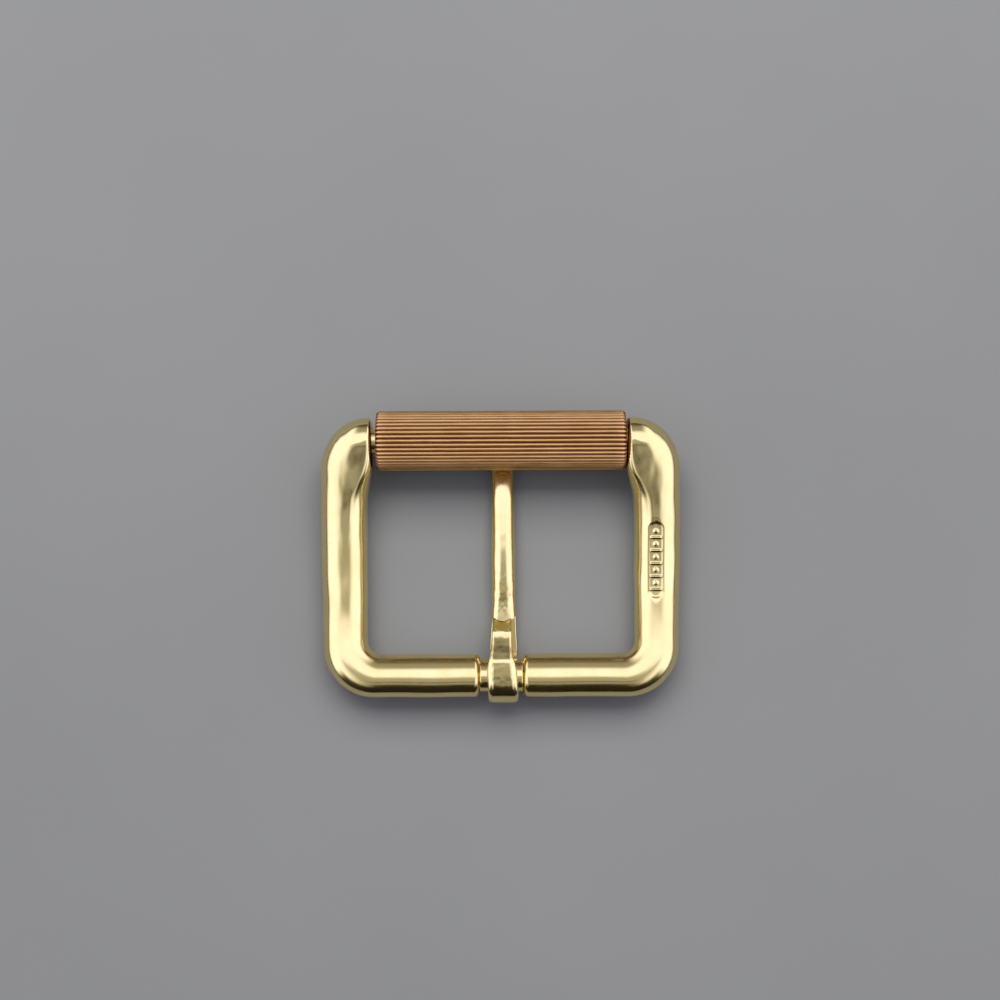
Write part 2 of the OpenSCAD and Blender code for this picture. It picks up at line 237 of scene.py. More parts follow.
END_Z = FRONT_Z + SHANK_T
LEDGE_T = END_Z - TAIL_T - SEAM_GAP - FRONT_Z
LEDGE_Y = SEAM_Y + (SHANK_T - LEDGE_T) * math.tan(SEAM_LEAN) - LEDGE_STEP


def mix(a, b, t):
    return a + (b - a) * t


def limit(t):
    return min(1.0, max(0.0, t))


def ease(t):
    u = limit(t)
    return u * u * (3 - 2 * u)


def smoothstep(low, high, value):
    u = np.clip((value - low) / (high - low), 0, 1)
    return u * u * (3 - 2 * u)


def within(value, start, full, fading, end):
    """1 between full and fading, and 0 outside start and end."""
    return smoothstep(start, full, value) * (1 - smoothstep(fading, end, value))


def table(columns, *rows):
    """A table's rows as one tuple of values for each named column."""
    return dict(zip(columns.split(), zip(*rows)))


def curve(rows, t, column):
    """A column's value at t, on a smooth curve through the table's rows."""
    at, values = rows["at"], rows[column]
    last = len(at) - 1
    i = 0
    while i < last - 1 and t >= at[i + 1]:
        i += 1

    def pace(k):
        before, after = max(0, k - 1), min(last, k + 1)
        return (values[after] - values[before]) / (at[after] - at[before])

    span = at[i + 1] - at[i]
    u = limit((t - at[i]) / span)
    return (
        mix(values[i], values[i + 1], ease(u))
        + span * u * (1 - u) * ((1 - u) * pace(i) - u * pace(i + 1))
    )


# Shape of an arm from the heel corner (0) to the roller's axis (1) and beyond. Each rounding's reach
# across is a share of half the arm's width, and its reach up a share of half the thickness; flat turns
# the inner one on the back into a bevel, and step is the share of the ear's step.
ARM = table(
    "at    out_x out_z back_x back_z flat front_x front_z step",
    (0.00, 0.95, 0.95, 1.04, 0.95, 0.00, 1.00, 0.95, 0.00),
    (0.38, 1.08, 0.95, 0.90, 0.95, 0.00, 0.90, 0.95, 0.00),
    (0.55, 1.10, 0.95, 0.87, 0.93, 0.12, 0.86, 0.93, 0.02),
    (0.72, 1.12, 0.95, 0.74, 0.86, 0.20, 0.76, 0.86, 0.22),
    (0.80, 1.14, 0.95, 0.60, 0.74, 0.22, 0.60, 0.74, 0.62),
    (0.86, 1.15, 0.95, 0.44, 0.54, 0.15, 0.46, 0.56, 0.95),
    (0.92, 1.17, 0.95, 0.32, 0.36, 0.05, 0.36, 0.40, 1.00),
    (0.98, 1.22, 0.95, 0.27, 0.27, 0.00, 0.30, 0.32, 1.00),
    (1.01, 1.34, 0.95, 0.26, 0.26, 0.00, 0.30, 0.32, 1.00),
    (1.03, 1.56, 0.95, 0.26, 0.26, 0.00, 0.30, 0.32, 1.00),
)

# Shape of the shank from the seam (0) to the tip's start (1): its width as a share of SHANK_W, its
# thinning from SHANK_T (0) to TIP_T (1), and the back's roundings as shares of half its sizes
SHANK = table(
    "at    width thinning back_x back_z",
    (0.00, 0.95, 0.06, 0.60, 0.50),
    (0.09, 0.97, 0.066, 0.76, 0.70),
    (0.16, 0.98, -0.15, 0.83, 0.77),
    (0.25, 0.99, -0.23, 0.92, 0.86),
    (0.38, 0.99, -0.30, 0.98, 0.90),
    (0.50, 0.98, -0.26, 0.98, 0.92),
    (0.62, 0.97, -0.06, 0.98, 0.92),
    (0.72, 0.95, 0.26, 0.97, 0.92),
    (0.82, 0.93, 0.64, 0.95, 0.91),
    (0.90, 0.91, 0.86, 0.92, 0.90),
    (1.00, TIP_W / SHANK_W, 1.00, 0.85, 0.85),
)

# Back of the closed strip from the eye's crown to the bend before the seam, in millimetres: at is the
# distance from the bar's axis, and height is over that axis
BACK = table(
    "at     height width bevel shift",
    (-0.73, 4.136, 4.50, 0.90, 0.10),
    (0.30, 4.27, 4.56, 1.05, 0.17),
    (1.35, 4.36, 4.44, 1.08, 0.22),
    (2.20, 4.38, 4.12, 0.92, 0.26),
    (2.55, 4.35, 3.98, 0.82, 0.27),
    (2.90, 4.24, 3.84, 0.72, 0.27),
    (3.25, 4.02, 3.70, 0.64, 0.27),
    (3.70, 3.68, 3.54, 0.56, 0.27),
    (4.70, 2.88, 3.26, 0.50, 0.25),
    (5.70, 2.22, 3.08, 0.46, 0.22),
    (6.50, 1.93, 2.98, 0.44, 0.20),
    (6.85, 1.83, 2.94, 0.42, 0.19),
)
BEND_Y = BACK["at"][-1]


# Sections and meshes
def corner(at, reach, start_deg, count, flat=0.0):
    """A rounded corner; flat turns it from an arc towards a bevel."""
    share = np.linspace(0, 1, count)
    a = math.radians(start_deg)
    turn = a + share * math.pi / 2
    arc = np.stack([reach[0] * np.cos(turn), reach[1] * np.sin(turn)], 1)
    start = np.array([reach[0] * math.cos(a), reach[1] * math.sin(a)])
    end = np.array([-reach[0] * math.sin(a), reach[1] * math.cos(a)])
    chord = start + (end - start) * share[:, None]
    return np.array(at) + mix(arc, chord, flat)


def section(w, h, out_back, in_back, in_front, out_front, flat=0.0, flat_front=0.0,
            back=BACK_POINTS, front=FRONT_POINTS, spans=SPAN_POINTS):
    """A rounded rectangle: across runs from 0 at the inner side to w, up is about 0."""
    parts = [
        corner((w - out_back[0], h / 2 - out_back[1]), out_back, 0, back),
        corner((in_back[0], h / 2 - in_back[1]), in_back, 90, back, flat),
        corner((in_front[0], in_front[1] - h / 2), in_front, 180, front, flat_front),
        corner((w - out_front[0], out_front[1] - h / 2), out_front, 270, front, flat_front),
    ]
    loop = []
    for i, part in enumerate(parts):
        following = parts[(i + 1) % 4][0]
        share = (np.arange(1, spans[i] + 1) / (spans[i] + 1))[:, None]
        loop += [part, part[-1] + (following - part[-1]) * share]
    return np.concatenate(loop)


def mesh_object(name, vertices, faces):
    """An object with smooth shading from vertices in millimetres."""
    mesh = bpy.data.meshes.new(name)
    mesh.from_pydata((np.asarray(vertices) * MM).tolist(), [], faces)
    shell = bmesh.new()
    shell.from_mesh(mesh)
    bmesh.ops.recalc_face_normals(shell, faces=shell.faces)
    shell.to_mesh(mesh)
    shell.free()
    mesh.shade_smooth()
    piece = bpy.data.objects.new(name, mesh)
    bpy.context.scene.collection.objects.link(piece)
    return piece


def skin(rings):
    """Vertices and faces of a closed sweep; its ends close in a fan round their middle."""
    count = len(rings[0])
    vertices = np.concatenate(rings + [rings[0].mean(0)[None], rings[-1].mean(0)[None]])
    first_cap, last_cap = len(vertices) - 2, len(vertices) - 1
    last = (len(rings) - 1) * count
    faces = []
    for i in range(count):
        j = (i + 1) % count
        faces.append((first_cap, j, i))
        faces.append((last_cap, last + i, last + j))
    for r in range(len(rings) - 1):
        a, b = r * count, (r + 1) * count
        for i in range(count):
            j = (i + 1) % count
            faces.append((a + i, a + j, b + j, b + i))
    return vertices, faces


def vectors_of(piece, attribute):
    """A vector attribute of each vertex, one to a row."""
    vertices = piece.data.vertices
    out = np.zeros(len(vertices) * 3)
    vertices.foreach_get(attribute, out)
    return out.reshape(-1, 3)


def places_of(piece):
    """Places of the vertices in millimetres."""
    return vectors_of(piece, "co") / MM


def push(piece, depth):
    """Moves each vertex along its normal by its depth in millimetres."""
    moved = (places_of(piece) + vectors_of(piece, "normal") * depth[:, None]) * MM
    piece.data.vertices.foreach_set("co", moved.ravel())
    piece.data.update()


def sharpen(piece, degrees):
    """Marks edges sharper than an angle, so that smooth shading stops there."""
    piece.data.set_sharp_from_angle(angle=math.radians(degrees))


# Wear
def waves(p, size, seed):
    """A smooth pattern between about -1 and 1 that repeats nowhere near, from a few sine waves."""
    rng = np.random.default_rng(seed)
    total = np.zeros(len(p))
    for _ in range(7):
        direction = rng.normal(size=3)
        direction *= rng.uniform(0.7, 1.4) / np.linalg.norm(direction)
        total += np.sin(p @ direction * 2 * math.pi / size + rng.uniform(0, 2 * math.pi))
    return total / 3.0


def wear(p, patterns):
    """Heights of a few patterns together."""
    return sum(height * waves(p * np.array([1, along, 1]), size, seed)
               for height, size, along, seed in patterns)


# Frame
def bow_z(y):
    return BOW_LOW + BOW_K * (y - BOW_Y) ** 2


def bow_slope(y):
    """Angle at which the arm climbs at y, in radians."""
    return math.atan(2 * BOW_K * (y - BOW_Y))


def fit(wanted, room):
    """Share of the wanted reach that there is room for."""
    return min(1.0, (room - SLIVER) / wanted)


def arm_section(w, h, t):
    def reach(rounding):
        return (curve(ARM, t, rounding + "_x") * ARM_W / 2, curve(ARM, t, rounding + "_z") * ARM_H / 2)

    out, back, front = reach("out"), reach("back"), reach("front")
    fit_back, fit_front = fit(out[0] + back[0], w), fit(out[0] + front[0], w)
    fit_out, fit_in = fit(2 * out[1], h), fit(back[1] + front[1], h)
    return section(
        w, h,
        (out[0] * fit_back, out[1] * fit_out),
        (back[0] * fit_back, back[1] * fit_in),
        (front[0] * fit_front, front[1] * fit_in),
        (out[0] * fit_front, out[1] * fit_out),
        curve(ARM, t, "flat"),
    )


def frame_ring(start, end, z, slope, shape_at):
    """A ring between an inner and an outer plan point, square to a path that climbs at slope."""
    start, end = np.array(start, float), np.array(end, float)
    width = np.linalg.norm(end - start)
    across = (end - start) / width
    ahead = np.array([across[1], -across[0]])
    shape = shape_at(width)
    plan = start + shape[:, :1] * across - shape[:, 1:] * math.sin(slope) * ahead
    return np.column_stack([plan, z + shape[:, 1] * math.cos(slope)])


def arm_outer(s):
    """Outer edge of an arm at a distance s along it from the roller's axis."""
    u = limit((s + EAR_ROUND_Y - EAR_R) / EAR_ROUND_Y)
    v = limit(1 - abs((s + ARM_L / 2) / (ARM_L / 2)))
    return OUTER_X + ARM_SWELL * ease(v) - EAR_ROUND_X * (1 - math.sqrt(1 - u * u))


def dome_ring(a, nearer=0.0):
    """A ring of the ear's round end, at a turn a beyond the roller's axis."""
    s = EAR_R * math.sin(a)
    y = ROLLER_Y + s * math.cos(EAR_SLOPE)
    start = (-EAR_X + nearer - (1 - math.cos(a)) * EAR_STEP / 2, y)
    end = (-max(arm_outer(s), EAR_X + EAR_STEP), y)
    return frame_ring(start, end, ROLLER_Z + s * math.sin(EAR_SLOPE), EAR_SLOPE,
                      lambda w: arm_section(w, 2 * EAR_R * math.cos(a), 1 + s / ARM_L))


def arm_ring(y, nearer=0.0):
    t = (y - ARM_Y0) / ARM_L
    start = (-INNER_W / 2 + (EAR_STEP + nearer) * curve(ARM, t, "step"), y)
    end = (-arm_outer(y - ROLLER_Y), y)
    h = mix(ARM_H, 2 * EAR_R, ease((t - 0.5) * 2))
    return frame_ring(start, end, bow_z(y), bow_slope(y), lambda w: arm_section(w, h, t))


def corner_ring(a):
    """A ring of the heel corner, at a turn a from the arm (0) to the heel bar (a quarter)."""
    start = (-INNER_W / 2 + CORNER_IN * (1 - math.cos(a)), ARM_Y0 - CORNER_IN * math.sin(a))
    end = (-OUTER_X + CORNER_OUT * (1 - math.cos(a)), HEEL_OUT + CORNER_OUT * (1 - math.sin(a)))
    y = (start[1] + end[1]) / 2
    share = a / (math.pi / 2)
    h = mix(ARM_H, HEEL_H, share)
    return frame_ring(start, end, mix(bow_z(y), HEEL_Z, share), bow_slope(y) * math.cos(a),
                      lambda w: arm_section(w, h, 0.0))


def heel_ring(x, inset):
    return frame_ring((x, HEEL_IN - inset), (x, HEEL_OUT + inset), HEEL_Z, 0,
                      lambda w: arm_section(w, HEEL_H - 2 * inset, 0.0))


def waist_ring(x, swell=0.0):
    r = WAIST_R + swell
    return frame_ring((x, HEEL_Y + r), (x, HEEL_Y - r), HEEL_Z, 0,
                      lambda w: section(w, w, *[(r - SLIVER, r - SLIVER)] * 4))


def waist_rings():
    """The waist from its middle to the fillet at its shoulder."""
    shoulder_x = WAIST_W / 2
    rings = [waist_ring(-shoulder_x * k / WAIST_STEPS) for k in range(WAIST_STEPS)]
    for k in range(FILLET_STEPS + 1):
        a = math.pi / 2 * k / FILLET_STEPS
        rings.append(waist_ring(-shoulder_x + FILLET * (1 - math.sin(a)), FILLET * (1 - math.cos(a))))
    return rings


def heel_rings():
    """The heel bar from its rounded shoulder to the corner."""
    shoulder_x = WAIST_W / 2
    rings = []
    for k in range(SHOULDER_STEPS + 1):
        a = math.pi / 2 * (1 - k / SHOULDER_STEPS)
        rings.append(heel_ring(-shoulder_x - SHOULDER_ROUND * (1 - math.sin(a)),
                               SHOULDER_DEPTH * SHOULDER_ROUND * (1 - math.cos(a))))
    first, last = -shoulder_x - SHOULDER_ROUND, -OUTER_X + CORNER_OUT
    return rings + [heel_ring(mix(first, last, k / HEEL_STEPS), 0) for k in range(1, HEEL_STEPS)]


def arm_stations(fine):
    """Places along an arm; the stretch with the panel is finer."""
    stations, y = [], ARM_Y0
    while y < ROLLER_Y - ARM_STEP / 2:
        stations.append(y)
        near_panel = fine and abs(y - PANEL_Y) < PANEL_L / 2 + PANEL_STEP * 3
        y += PANEL_STEP if near_panel else ARM_STEP
    return stations[1:] + [ROLLER_Y]


def half_rings(fine, nearer):
    """Rings of the left half of the frame, from the waist's middle to the ear's end."""
    rings = waist_rings() + heel_rings()
    rings += [corner_ring(math.pi / 2 * (1 - k / CORNER_STEPS)) for k in range(CORNER_STEPS + 1)]
    rings += [arm_ring(y, nearer) for y in arm_stations(fine)]
    rings += [dome_ring(DOME_END * k / DOME_STEPS, nearer) for k in range(1, DOME_STEPS + 1)]
    return rings


def mirrored(ring):
    """The ring of the other side, with its points in the same order round the path."""
    return ring * np.array([-1, 1, 1])


def panel_relief(p, normals):
    """Depth of the sunken panel on the right arm's back, with its raised bars and pellets."""
    x, y = p[:, 0] - PANEL_X, p[:, 1] - PANEL_Y
    straight = (PANEL_L - PANEL_W) / 2
    beyond = np.maximum(np.abs(y) - straight, 0)
    edge = PANEL_W / 2 - np.hypot(x, beyond)
    sunk = smoothstep(*PANEL_EDGE, edge)
    last = math.floor((PANEL_L - PANEL_W) / MARK_PITCH)
    k = np.clip(np.round(y / MARK_PITCH + last / 2), 0, last)
    from_mark = y - (k - last / 2) * MARK_PITCH
    bar = np.minimum(PANEL_W * BAR_REACH - np.abs(x), MARK_PITCH * BAR_HALF - np.abs(from_mark))
    pellet = MARK_PITCH * PELLET_R - np.hypot(x, from_mark)
    inside = np.where(k % 2 == 0, bar, pellet)
    raised = smoothstep(*MARK_EDGE, inside)
    back = normals[:, 2] > 0.5
    return np.where(back, -PANEL_DEPTH * sunk + MARK_H * raised * sunk, 0.0)


def arm_relief(p, normals):
    """Crown of the ears' backs, and streaks along the arms' backs."""
    off_middle = np.clip((np.abs(p[:, 0]) - EAR_X - CROWN_X) / CROWN_REACH, -1, 1)
    crown = CROWN_H * np.cos(off_middle * math.pi / 2) ** 2
    crown = crown * smoothstep(ROLLER_Y - CROWN_FADE[0], ROLLER_Y - CROWN_FADE[1], p[:, 1])
    streaks = wear(p, ARM_STREAKS) * smoothstep(*STREAKED_Y, p[:, 1])
    return crown * smoothstep(0.3, 0.9, normals[:, 2]) + streaks * smoothstep(0.9, 0.97, normals[:, 2])


def build_frame():
    left = half_rings(False, 0.0)
    right = [mirrored(ring) for ring in half_rings(True, RIGHT_EAR_IN)]
    piece = mesh_object("cast_frame", *skin(left[::-1] + right[1:]))
    p, normals = places_of(piece), vectors_of(piece, "normal")
    away_from_waist = smoothstep(WAIST_W / 2 + 1, WAIST_W / 2 + 3, np.abs(p[:, 0]))
    relief = wear(p, FRAME_POLISH) + arm_relief(p, normals)
    push(piece, relief * away_from_waist + panel_relief(p, normals))
    return piece


# Prong
def prong_ring(y, z, heading, w, t, front, back, flat=0.0, shift=0.0, smile=0.0):
    """A ring at a point of the prong's front face, travelling at a heading in the YZ plane."""
    half_w, half_t = (w - SLIVER) / 2, (t - SLIVER) / 2
    front = min(front[0], half_w), min(front[1], half_t)
    back = min(back[0], half_w), min(back[1], t - front[1] - SLIVER)
    shape = section(w, t, back, back, front, front, 0.0, flat, PRONG_POINTS, PRONG_POINTS,
                    PRONG_SPAN_POINTS)
    depth = shape[:, 1] + t / 2
    off_middle = 2 * shape[:, 0] / w - 1
    bulge = smile * (1 - off_middle ** 2)
    return np.column_stack([
        PRONG_SHIFT + shift + shape[:, 0] - w / 2,
        HEEL_Y + y + depth * math.sin(heading) - bulge,
        HEEL_Z + z - depth * math.cos(heading),
    ])


def shank_ring(t):
    thick = mix(SHANK_T, TIP_T, curve(SHANK, t, "thinning"))
    near_seam = max(0.0, 1 - t * SEAM_FADE)
    lean = SEAM_LEAN * near_seam
    y = mix(SEAM_Y, BAR_PITCH, t) + thick * math.tan(lean)
    w = SHANK_W * curve(SHANK, t, "width")
    edge = FRONT_EDGE * thick / 2
    back = curve(SHANK, t, "back_x") * w / 2, curve(SHANK, t, "back_z") * thick / 2
    return prong_ring(y, FRONT_Z, math.pi + lean, w, thick / math.cos(lean), (edge, edge), back,
                      shift=SHANK_LEAN * (1 - t), smile=SMILE * near_seam)


def tip_ring(t):
    """A ring of the tip, which turns up round the roller and closes at its end."""
    turn = TIP_TURN * t
    size = mix(TIP_END, 1, math.sqrt(1 - limit(t * 2 - 1) ** 2))
    r = REACH_R + (1 + size) * TIP_T / 2
    edge = FRONT_EDGE * TIP_T * size / 2
    return prong_ring(BAR_PITCH + r * math.sin(turn), ROLLER_Z - HEEL_Z - r * math.cos(turn),
                      math.pi + turn, TIP_W * size, TIP_T * size, (edge, edge), (edge, edge))


def strip_ring(y, z, heading, w, thick, bevel, shift=0.0, smile=0.0):
    """A ring of the bevelled strip that is closed round the bar."""
    return prong_ring(y, z, heading, w, thick, (bevel, bevel * BEVEL_UP), (INNER_EDGE, INNER_EDGE),
                      BEVEL_FLAT, shift, smile)


def between(first, last, steps):
    """Rings between two rings, both left out."""
    return [mix(first, last, k / steps) for k in range(1, steps)]


def eye_ring(heading):
    """A ring of the round part of the eye."""
    near_crown = ease((math.pi / 4 - heading) / (math.pi / 4 - CROWN_TURN))
    return strip_ring(-EYE_R * math.sin(heading), EYE_R * math.cos(heading), heading,
                      mix(EYE_W, BACK["width"][0], near_crown), STRIP_T,
                      mix(EYE_BEVEL, BACK["bevel"][0], near_crown), -BACK["shift"][0] * near_crown)


def back_ring(y, heading, thick):
    """A ring of the hammered part, at a distance y from the bar's axis."""
    z, w, bevel, shift = (curve(BACK, y, column) for column in ("height", "width", "bevel", "shift"))
    return strip_ring(y, z, heading, w, thick, bevel, -shift)


def crown_at(heading):
    """Distance along and thickness of the hammered part at a heading, found in a few rounds."""
    r = EYE_R
    for _ in range(12):
        r = curve(BACK, -r * math.sin(heading), "height") / math.cos(heading)
    return -r * math.sin(heading), r - EYE_R + STRIP_T


def crown_ring(heading):
    y, thick = crown_at(heading)
    return back_ring(y, heading, thick)


def throat_rings(eye_start):
    """The strip's front from the ledge under the seam to the eye."""
    throat_w = SHANK_W * THROAT_W
    ledge = strip_ring(LEDGE_Y, FRONT_Z, math.pi, throat_w, LEDGE_T, EYE_BEVEL, SHANK_LEAN, SMILE)
    throat = strip_ring(LEDGE_Y / 2, FRONT_Z, math.pi, mix(throat_w, EYE_W, 0.5),
                        mix(STRIP_T, LEDGE_T, 0.5), EYE_BEVEL, SHANK_LEAN / 2)
    return ([ledge] + between(ledge, throat, THROAT_STEPS)
            + [throat] + between(throat, eye_start, THROAT_STEPS))


def eye_rings():
    """The eye from the strip's front over the heel side to the end of its crown."""
    eye = [eye_ring(mix(math.pi, CROWN_TURN, k / EYE_STEPS)) for k in range(EYE_STEPS)]
    crown = [mix(CROWN_TURN, -TAIL_TURN, k / CROWN_STEPS) for k in range(CROWN_STEPS + 1)]
    return eye + [crown_ring(heading) for heading in crown]


def tail_rings():
    """The strip's back from the crown down to the seam."""
    knee_y, knee_t = crown_at(-TAIL_TURN)
    shares = [k / TAIL_STEPS for k in range(1, TAIL_STEPS + 1)]
    tail = [back_ring(mix(knee_y, BEND_Y, share), -mix(TAIL_TURN, BEND_TURN, share),
                      mix(knee_t, BEND_T, share)) for share in shares]
    end = strip_ring(END_Y, END_Z, SEAM_LEAN, SHANK_W * TAIL_W, TAIL_T / math.cos(SEAM_LEAN),
                     END_BEVEL, -TAIL_SHIFT, SMILE)
    return tail + between(tail[-1], end, END_STEPS) + [end]


def prong_relief(p):
    """Polish along the prong, wear on its shank, dents on its tail and hammer marks on its crown."""
    from_bar, up = p[:, 1] - HEEL_Y, p[:, 2]
    polish = wear(p, PRONG_POLISH) * within(from_bar, *POLISHED)
    worn = wear(p, SHANK_WEAR) * within(from_bar, *WORN) * smoothstep(*WORN_UP, up)
    dents = wear(p, TAIL_DENTS) * within(from_bar, *DENTED) * smoothstep(*DENTED_UP, up)
    marks = wear(p, HAMMER_MARKS) * within(from_bar, *HAMMERED) * smoothstep(*HAMMERED_UP, up)
    marks = marks * (1 - smoothstep(*HAMMERED_REACH, np.abs(p[:, 0] - HAMMERED_X)))
    return polish + worn + dents + marks


def build_prong():
    rings = [tip_ring(k / TIP_STEPS) for k in range(TIP_STEPS, 0, -1)]
    rings += [shank_ring(k / SHANK_STEPS) for k in range(SHANK_STEPS, -1, -1)]
    eye = eye_rings()
    rings += throat_rings(eye[0]) + eye + tail_rings()
    piece = mesh_object("forged_prong", *skin(rings))
    push(piece, prong_relief(places_of(piece)))
    return piece


# Roller and pin
def rib_profile(theta):
    """Radius of the ribbed surface: round crests between sharp grooves."""
    phase = (theta * RIB_COUNT / (2 * math.pi)) % 1.0
    crest = 1 - np.abs(2 * phase - 1) ** RIB_POWER
    return ROLLER_R - RIB_DEPTH * (1 - crest)


def roller_stations():
    """Places along the roller: distance from its middle, radius and share of the ribs' depth."""
    half, (bevel, drop) = ROLLER_L / 2, ROLLER_BEVEL
    end = [(-half, PIN_D / 2 + RUN_CLEAR, 0.0), (-half, ROLLER_R - 3 * drop, 0.3)]
    for k in range(BEVEL_STEPS + 1):
        share = k / BEVEL_STEPS
        end.append((-half + bevel * share, ROLLER_R - drop * (1 - share), 1.0))
    inner = np.linspace(bevel - half, half - bevel, ROLLER_STEPS + 1)[1:-1]
    middle = [(x, ROLLER_R, 1.0) for x in inner]
    return end + middle + [(-x, r, grooved) for x, r, grooved in reversed(end)]


def build_roller():
    count = RIB_COUNT * RIB_POINTS
    theta = np.arange(count) * 2 * math.pi / count
    ribs = rib_profile(theta)
    vertices = []
    for x, r, grooved in roller_stations():
        r = r - (ROLLER_R - ribs) * grooved
        vertices.append(np.column_stack([
            np.full(count, ROLLER_SHIFT + x),
            ROLLER_Y + r * np.cos(theta),
            ROLLER_Z + r * np.sin(theta),
        ]))
    faces = []
    rings = len(vertices)
    for s in range(rings):
        a, b = s * count, ((s + 1) % rings) * count
        for i in range(count):
            j = (i + 1) % count
            faces.append((a + i, b + i, b + j, a + j))
    return mesh_object("ribbed_roller", np.concatenate(vertices), faces)


def rod(name, radius, length):
    """A rod along the roller's axis."""
    bpy.ops.mesh.primitive_cylinder_add(
        vertices=ROD_SIDES, radius=radius * MM, depth=length * MM,
        location=(0, ROLLER_Y * MM, ROLLER_Z * MM), rotation=(0, math.pi / 2, 0))
    piece = bpy.context.active_object
    piece.name = name
    return piece


def combine(piece, other, operation):
    """Applies a boolean with another piece and removes that piece."""
    step = piece.modifiers.new("step", "BOOLEAN")
    step.operation = operation
    step.solver = "EXACT"
    step.object = other
    with bpy.context.temp_override(object=piece, active_object=piece, selected_objects=[piece]):
        bpy.ops.object.modifier_apply(modifier=step.name)
    bpy.data.objects.remove(other, do_unlink=True)


def build_pin(cast_frame):
    """The riveted pin, whose ends are dressed flush with the ears; the ears are drilled for it."""
    room = cast_frame.copy()
    room.data = cast_frame.data.copy()
    bpy.context.scene.collection.objects.link(room)
    combine(room, rod("core", PIN_D, 2 * EAR_X + EAR_STEP), "UNION")
    piece = rod("riveted_pin", PIN_D / 2, 3 * OUTER_X)
    combine(piece, room, "INTERSECT")
    combine(cast_frame, rod("drill", PIN_D / 2 + DRILL_GAP, 3 * OUTER_X), "DIFFERENCE")
    return piece


# Materials and light
class Nodes:
    """A short way to write the nodes of a material or of the world."""

    def __init__(self, owner, shader="Principled BSDF"):
        owner.use_nodes = True
        self.tree = owner.node_tree
        self.shader = self.tree.nodes[shader]

    def add(self, kind, inputs=None, **settings):
        node = self.tree.nodes.new(kind)
        for key, value in settings.items():
            setattr(node, key, value)
        for key, value in (inputs or {}).items():
            self.feed(node.inputs[key], value)
        return node

    def feed(self, socket, value):
        if isinstance(value, bpy.types.NodeSocket):
            self.tree.links.new(value, socket)
        else:
            socket.default_value = value

    def place(self):
        return self.add("ShaderNodeTexCoord").outputs["Object"]

    def mapped(self, place, **inputs):
        """A place that is moved or stretched."""
        return self.add("ShaderNodeMapping", {"Vector": place, **inputs}).outputs["Vector"]

    def noise(self, place, scale, detail=3.0, roughness=0.55):
        node = self.add("ShaderNodeTexNoise", {"Vector": place, "Scale": scale, "Detail": detail,
                                               "Roughness": roughness})
        return node.outputs["Fac"]

    def ranged(self, value, low, high, to_low, to_high, kind="LINEAR"):
        node = self.add("ShaderNodeMapRange", {"Value": value, "From Min": low, "From Max": high,
                                               "To Min": to_low, "To Max": to_high},
                        interpolation_type=kind)
        return node.outputs["Result"]

    def eased(self, value, low, high, to_low, to_high):
        return self.ranged(value, low, high, to_low, to_high, "SMOOTHSTEP")

    def blend(self, factor, a, b):
        node = self.add("ShaderNodeMix", data_type="RGBA")
        self.feed(node.inputs["Factor"], factor)
        self.feed(node.inputs["A"], a)
        self.feed(node.inputs["B"], b)
        return node.outputs["Result"]

    def math(self, kind, a, b=0.0):
        node = self.add("ShaderNodeMath", operation=kind)
        self.feed(node.inputs[0], a)
        self.feed(node.inputs[1], b)
        return node.outputs["Value"]

    def times(self, value, *others):
        for other in others:
            value = self.math("MULTIPLY", value, other)
        return value

    def bump(self, height, strength, distance):
        node = self.add("ShaderNodeBump", {"Height": height, "Strength": strength, "Distance": distance})
        self.feed(self.shader.inputs["Normal"], node.outputs["Normal"])


def colour(r, g, b):
    return (r, g, b, 1.0)


def brass(name, bright, warm, rough_low, rough_high):
    """Polished brass: faint cloudy colour, wiped-in polish lines, small casting pits."""
    material = bpy.data.materials.new(name)
    m = Nodes(material)
    place = m.place()
    cloud = m.noise(place, 260, 2.0)
    lines = m.noise(m.mapped(place, Scale=(1.0, 0.16, 1.0)), 5200, 2.0)
    grain = m.noise(place, 2600, 2.0)
    pit_cells = m.add("ShaderNodeTexVoronoi", {"Vector": place, "Scale": 620.0, "Randomness": 1.0})
    pits = m.ranged(pit_cells.outputs["Distance"], 0.03, 0.09, 1.0, 0.0)
    sparse = m.ranged(m.noise(place, 480, 1.0), 0.56, 0.62, 0.0, 1.0)
    pitted = m.times(pits, sparse)
    tint = m.blend(m.ranged(cloud, 0.3, 0.7, 0.0, 1.0), colour(*bright), colour(*warm))
    tint = m.blend(m.times(pitted, 0.5), tint, colour(0.30, 0.19, 0.06))
    m.feed(m.shader.inputs["Base Color"], tint)
    m.shader.inputs["Metallic"].default_value = 1.0
    wiped = m.math("ADD", m.times(lines, 0.5), m.times(cloud, 0.5))
    m.feed(m.shader.inputs["Roughness"], m.ranged(wiped, 0.35, 0.65, rough_low, rough_high))
    scratched = m.math("ADD", m.times(lines, 0.25), m.times(grain, 0.3))
    m.bump(m.math("SUBTRACT", scratched, pitted), 0.2, 0.00002)
    return material


